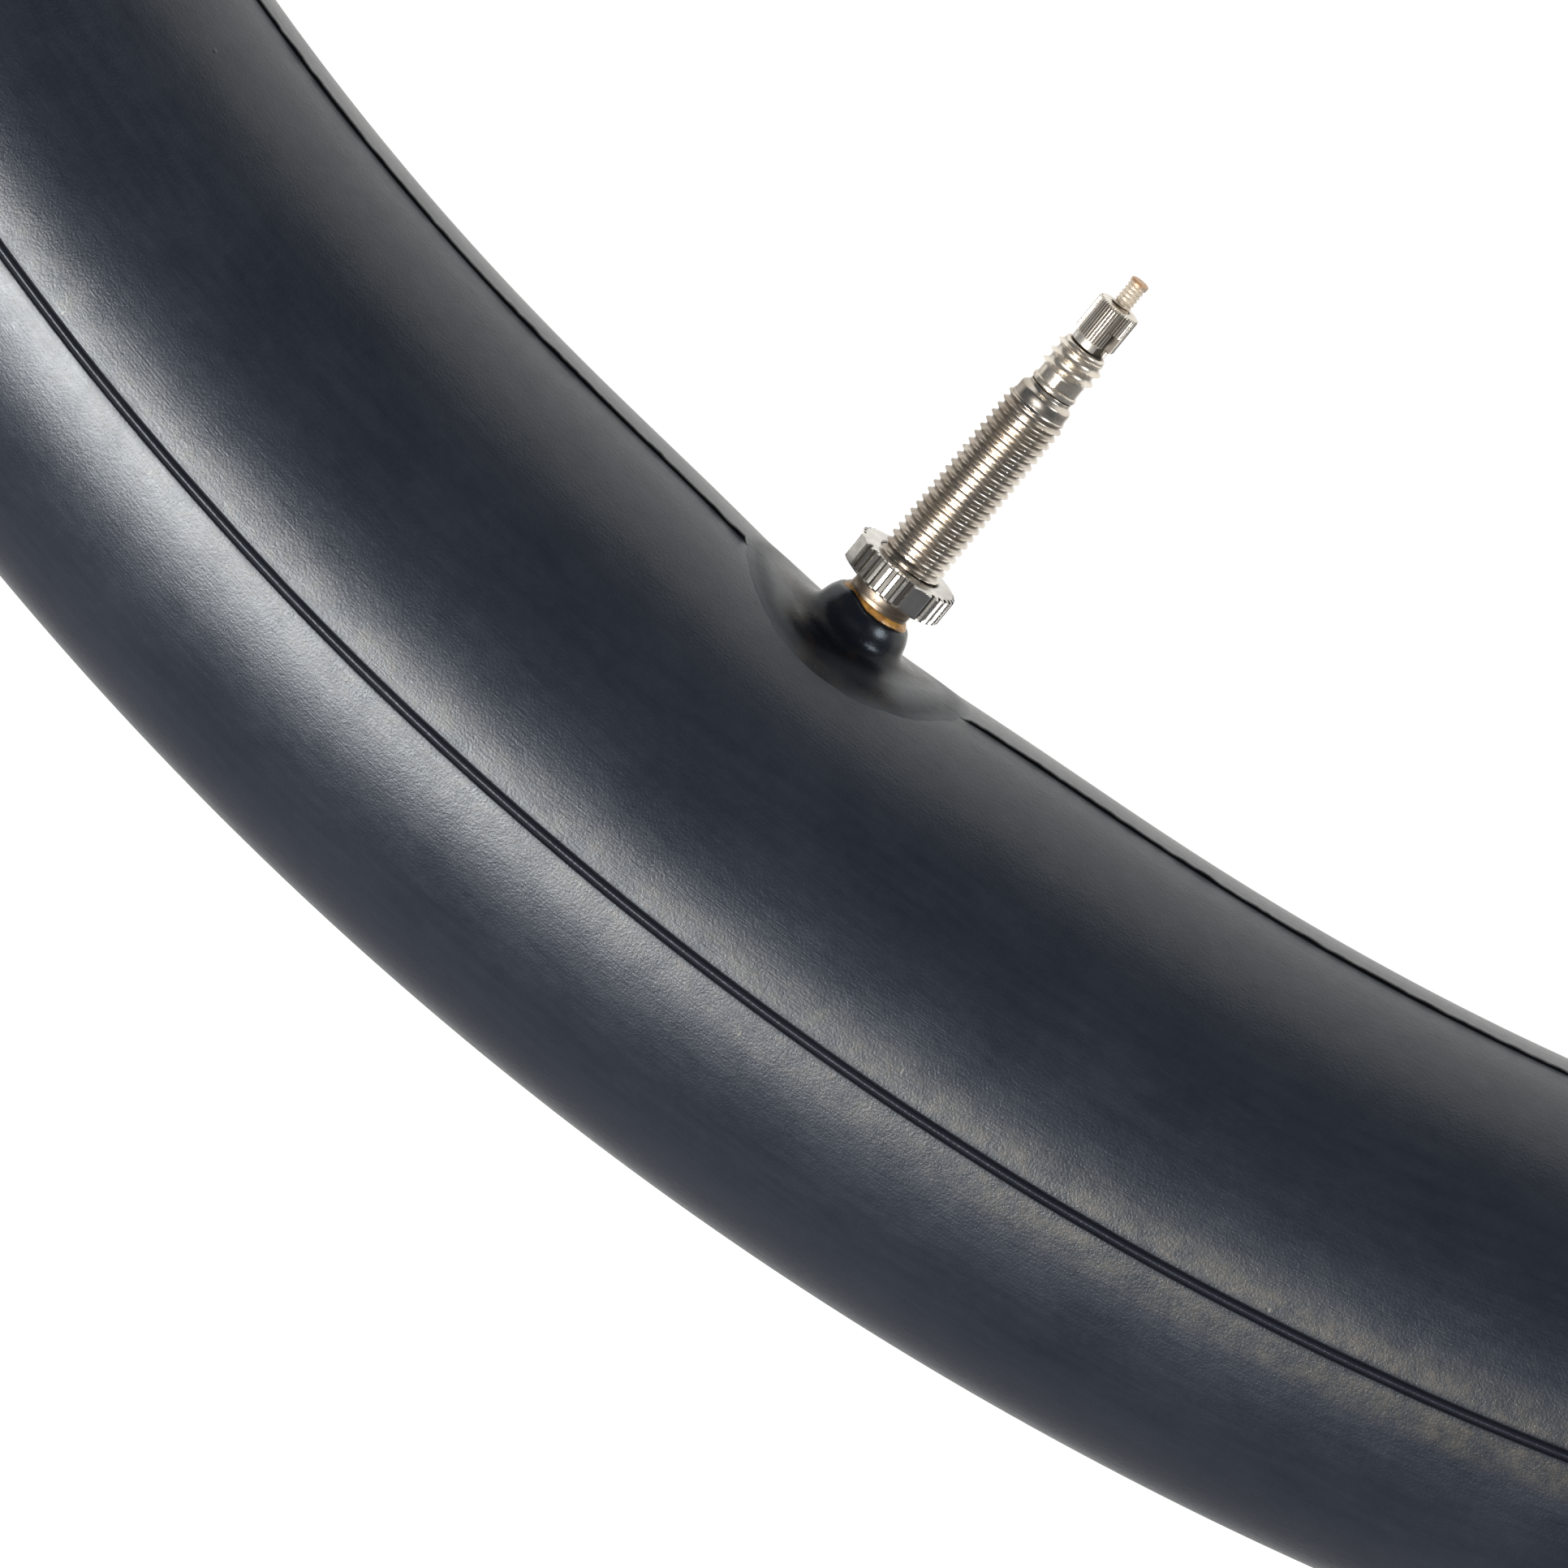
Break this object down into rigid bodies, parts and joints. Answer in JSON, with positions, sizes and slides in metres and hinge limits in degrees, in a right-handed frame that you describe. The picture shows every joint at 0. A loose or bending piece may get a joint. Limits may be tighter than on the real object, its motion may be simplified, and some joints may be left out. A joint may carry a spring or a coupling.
{
  "type": "bicycle inner tube",
  "caption": "Inflated butyl ring for a bicycle tyre, with a bonded rubber valve base, threaded metal Presta valve stem, knurled rim nut and valve core.",
  "frame": {"origin": "centre of the ring, halfway through its thickness", "axes": "+Z along the ring's axis, the ring lies flat; the valve stands on the inner side of the ring at +Y and points to the centre, along -Y"},
  "size_m": [0.6048, 0.6048, 0.0488],
  "materials": {
    "tube_rubber": "satin butyl rubber with a light bloom",
    "base_rubber": "glossy moulded rubber with smears of cement",
    "bonding_cement": "dried amber bonding cement",
    "nickel_plate": "nickel-plated brass, bright with fine turning marks",
    "pin_brass": "thinly plated brass, worn at the tip",
    "gasket_rubber": "matt red rubber",
    "seal_rubber": "matt black rubber"
  },
  "bodies": {
    "root": {"tube_body": "tube_rubber", "valve_base": "base_rubber", "bonding_bead": "bonding_cement", "valve_stem": "nickel_plate"},
    "rim_nut": {"rim_nut": "nickel_plate"},
    "core": {"core_body": "nickel_plate", "core_gasket": "gasket_rubber"},
    "pin": {"valve_pin": "pin_brass", "pin_seal": "seal_rubber", "seal_retainer": "pin_brass"},
    "core_nut": {"core_nut": "nickel_plate"}
  },
  "joints": [
    {"name": "rim_nut_travel", "type": "slide", "parent": "root", "child": "rim_nut", "axis": [0, -1, 0], "range_m": [-0.0009, 0.036]},
    {"name": "core_unscrew", "type": "slide", "parent": "root", "child": "core", "axis": [0, -1, 0], "range_m": [0, 0.017]},
    {"name": "pin_press", "type": "slide", "parent": "core", "child": "pin", "axis": [0, 1, 0], "range_m": [0, 0.0023]},
    {"name": "core_nut_unscrew", "type": "slide", "parent": "core", "child": "core_nut", "axis": [0, -1, 0], "range_m": [0, 0.0023]}
  ]
}
